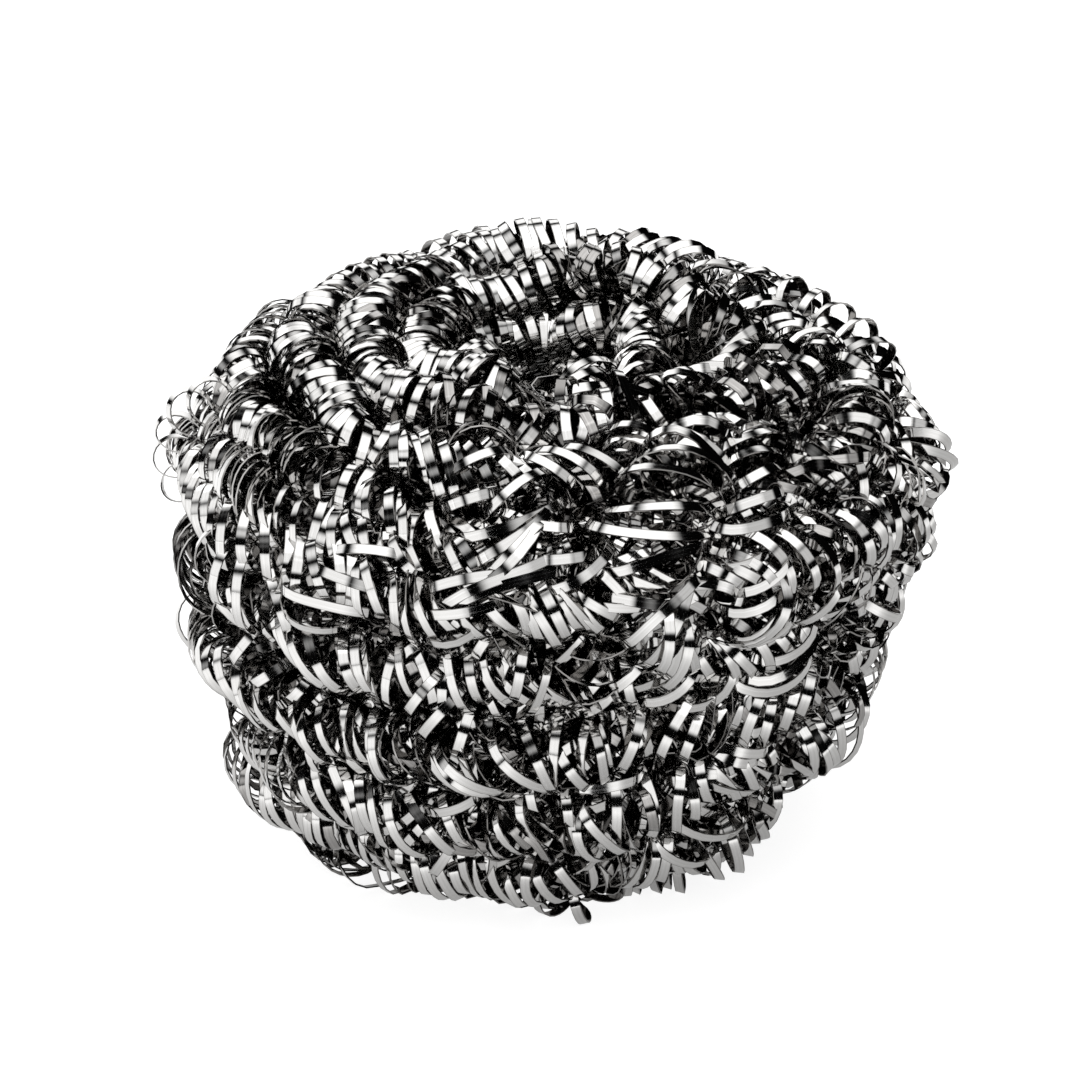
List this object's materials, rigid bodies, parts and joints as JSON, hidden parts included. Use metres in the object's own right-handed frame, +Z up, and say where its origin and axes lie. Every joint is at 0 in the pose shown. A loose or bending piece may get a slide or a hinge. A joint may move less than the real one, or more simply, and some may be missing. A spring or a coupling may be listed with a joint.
{
  "type": "spiral scourer",
  "caption": "Round pot scourer wound from one springy rope of coiled bright steel ribbon, with rows of curls up its side and a dimple in the crown.",
  "frame": {"origin": "on the surface that the pad stands on, under the middle of its outline seen from above", "axes": "+Z up along the axis that the rope is wound about, -Y towards the side that the picture shows, +X to its right"},
  "size_m": [0.0866, 0.0842, 0.0604],
  "materials": {
    "ribbon_steel": "bright rolled flat wire"
  },
  "bodies": {
    "root": {"coiled_ribbon": "ribbon_steel"}
  },
  "joints": []
}
